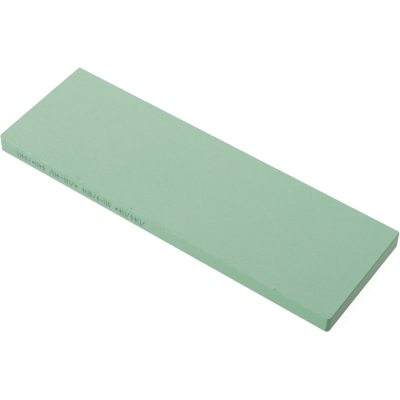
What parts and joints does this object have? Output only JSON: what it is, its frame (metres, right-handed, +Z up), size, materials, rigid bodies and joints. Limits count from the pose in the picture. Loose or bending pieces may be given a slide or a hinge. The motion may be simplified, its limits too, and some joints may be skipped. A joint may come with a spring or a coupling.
{
  "type": "sharpening whetstone",
  "caption": "Flat rectangular block of fine mint-green bonded abrasive for honing carving knives and chisels, with rubbed-down corners and chamfered edges.",
  "frame": {"origin": "centre of the underside, the wide face that the stone lies on", "axes": "+X along the stone's length; +Y across its width, so the long side with the ink line faces -Y; +Z up, out of the working face"},
  "size_m": [0.21, 0.07, 0.01],
  "materials": {
    "abrasive": "matte",
    "ink": "matte"
  },
  "bodies": {
    "root": {"whetstone_block": "abrasive"}
  },
  "joints": []
}
